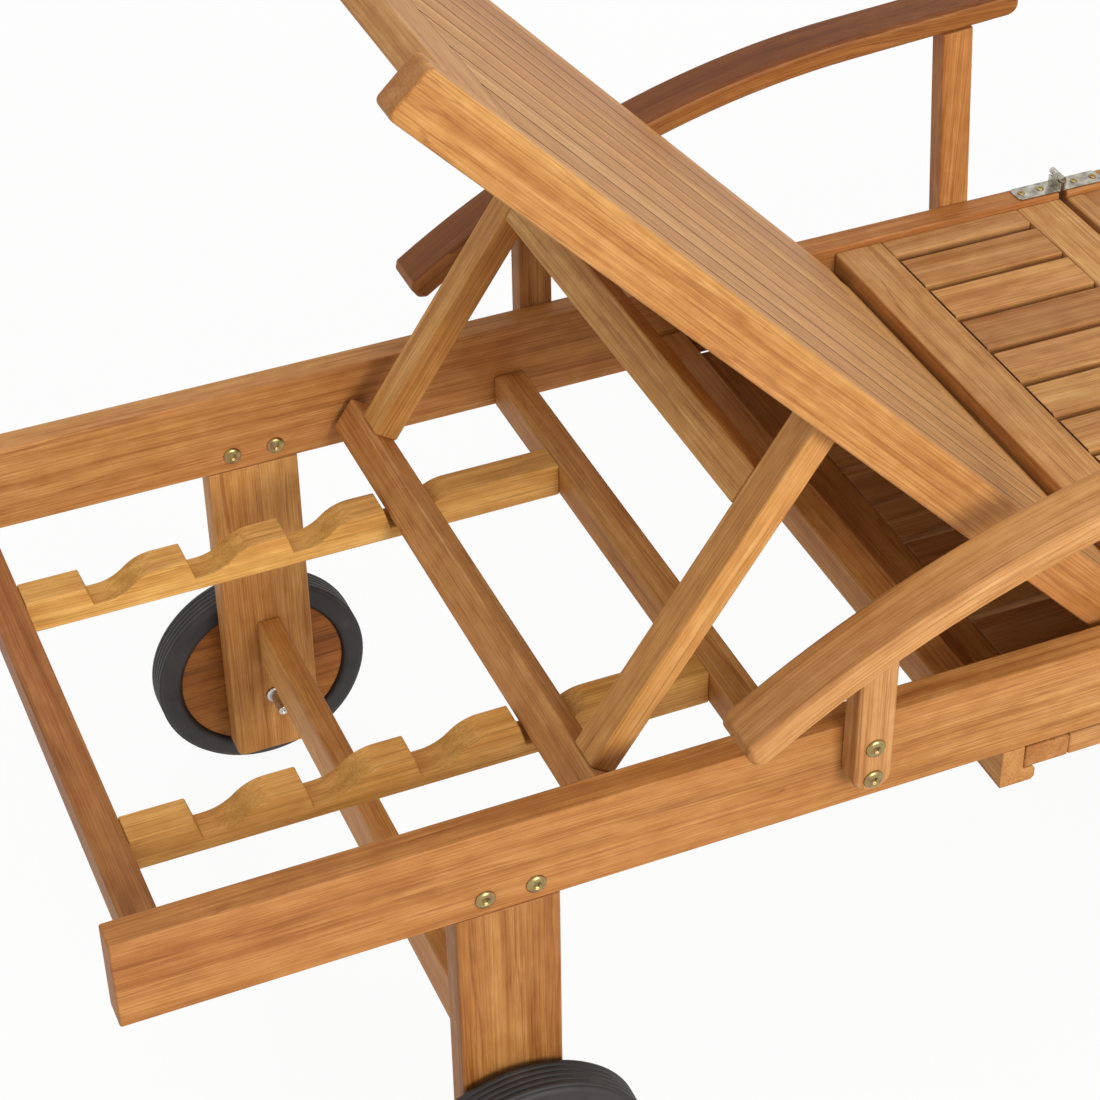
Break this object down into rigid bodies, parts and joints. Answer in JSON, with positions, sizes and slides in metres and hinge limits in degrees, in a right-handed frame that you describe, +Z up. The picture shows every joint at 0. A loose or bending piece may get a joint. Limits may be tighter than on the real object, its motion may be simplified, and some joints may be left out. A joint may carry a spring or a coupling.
{
  "type": "sun lounger",
  "caption": "Folding slatted wooden sun lounger with toothed-rack reclining back, armrests, wheels, fold-over foot section and sliding tray.",
  "frame": {"origin": "on the ground, on the centreline, half way along the side rails", "axes": "+X towards the foot end, +Y towards the far side, +Z up"},
  "size_m": [1.8996, 0.693, 0.9972],
  "materials": {
    "teak": "satin oiled teak",
    "teak_slat": "satin oiled teak",
    "zinc_steel": "yellow zinc plate",
    "hinge_plate": "yellow zinc plate",
    "tyre": "matt black rubber"
  },
  "bodies": {
    "frame": {"armrest_far": "teak", "armrest_near": "teak", "axle_bolts": "zinc_steel", "axle_nuts": "zinc_steel", "axle_spacers": "zinc_steel", "front_posts": "teak", "head_cross_rail": "teak", "hinge_head_leaves": "hinge_plate", "hinge_head_screws": "zinc_steel", "hinge_pins": "zinc_steel", "leg_bolts": "zinc_steel", "leg_nuts": "zinc_steel", "mid_legs": "teak", "mid_stretcher": "teak", "pivot_bolts": "zinc_steel", "pivot_cross_rail": "teak", "pivot_spacers": "zinc_steel", "post_bolts": "zinc_steel", "rack_cross_rail": "teak", "rack_far": "teak", "rack_near": "teak", "rail_far": "teak", "rail_near": "teak", "rear_posts": "teak", "seat_end_stiles": "teak", "seat_side_stiles": "teak", "seat_slats": "teak_slat", "tray_runner_foot": "teak", "tray_runner_head": "teak", "wheel_leg_far": "teak", "wheel_leg_near": "teak", "wheel_stretcher": "teak"},
    "back": {"back_rail_near": "teak", "back_rail_far": "teak", "back_bottom_stile": "teak", "back_top_stile": "teak", "back_slats": "teak_slat", "prop_bolts": "zinc_steel"},
    "prop": {"prop_arm_near": "teak", "prop_arm_far": "teak", "prop_foot_bar": "teak", "prop_tie_bar": "teak"},
    "foot_section": {"foot_end_stiles": "teak", "foot_leg_bolts": "zinc_steel", "foot_leg_nuts": "zinc_steel", "foot_legs": "teak", "foot_rail_far": "teak", "foot_rail_near": "teak", "foot_side_stiles": "teak", "foot_slats": "teak_slat", "foot_stretcher": "teak", "hinge_foot_leaves": "hinge_plate", "hinge_foot_screws": "zinc_steel"},
    "tray": {"tray_side_bars": "teak", "tray_end_bars": "teak", "tray_slats": "teak_slat"},
    "wheel_near": {"tyre_near": "tyre", "wheel_disc_near": "teak"},
    "wheel_far": {"tyre_far": "tyre", "wheel_disc_far": "teak"}
  },
  "joints": [
    {"name": "back_tilt", "type": "hinge", "parent": "frame", "child": "back", "pos_m": [-0.14115, 0, 0.4065], "axis": [0, 1, 0], "range_deg": [-44.5, 0]},
    {"name": "prop_swing", "type": "hinge", "parent": "back", "child": "prop", "pos_m": [-0.39586, 0, 0.65515], "axis": [0, 1, 0], "range_deg": [0, 98.5]},
    {"name": "foot_fold", "type": "hinge", "parent": "frame", "child": "foot_section", "pos_m": [0.12225, 0, 0.443], "axis": [0, -1, 0], "range_deg": [0, 145]},
    {"name": "tray_slide", "type": "slide", "parent": "frame", "child": "tray", "axis": [0, -1, 0], "range_m": [0, 0.4]},
    {"name": "wheel_near_spin", "type": "hinge", "parent": "frame", "child": "wheel_near", "pos_m": [-0.66925, -0.321, 0.098], "axis": [0, 1, 0], "continuous": true},
    {"name": "wheel_far_spin", "type": "hinge", "parent": "frame", "child": "wheel_far", "pos_m": [-0.66925, 0.321, 0.098], "axis": [0, 1, 0], "continuous": true}
  ],
  "couplings": [
    {"joint": "prop_swing", "follows": "back_tilt", "ratio": -2.204}
  ]
}
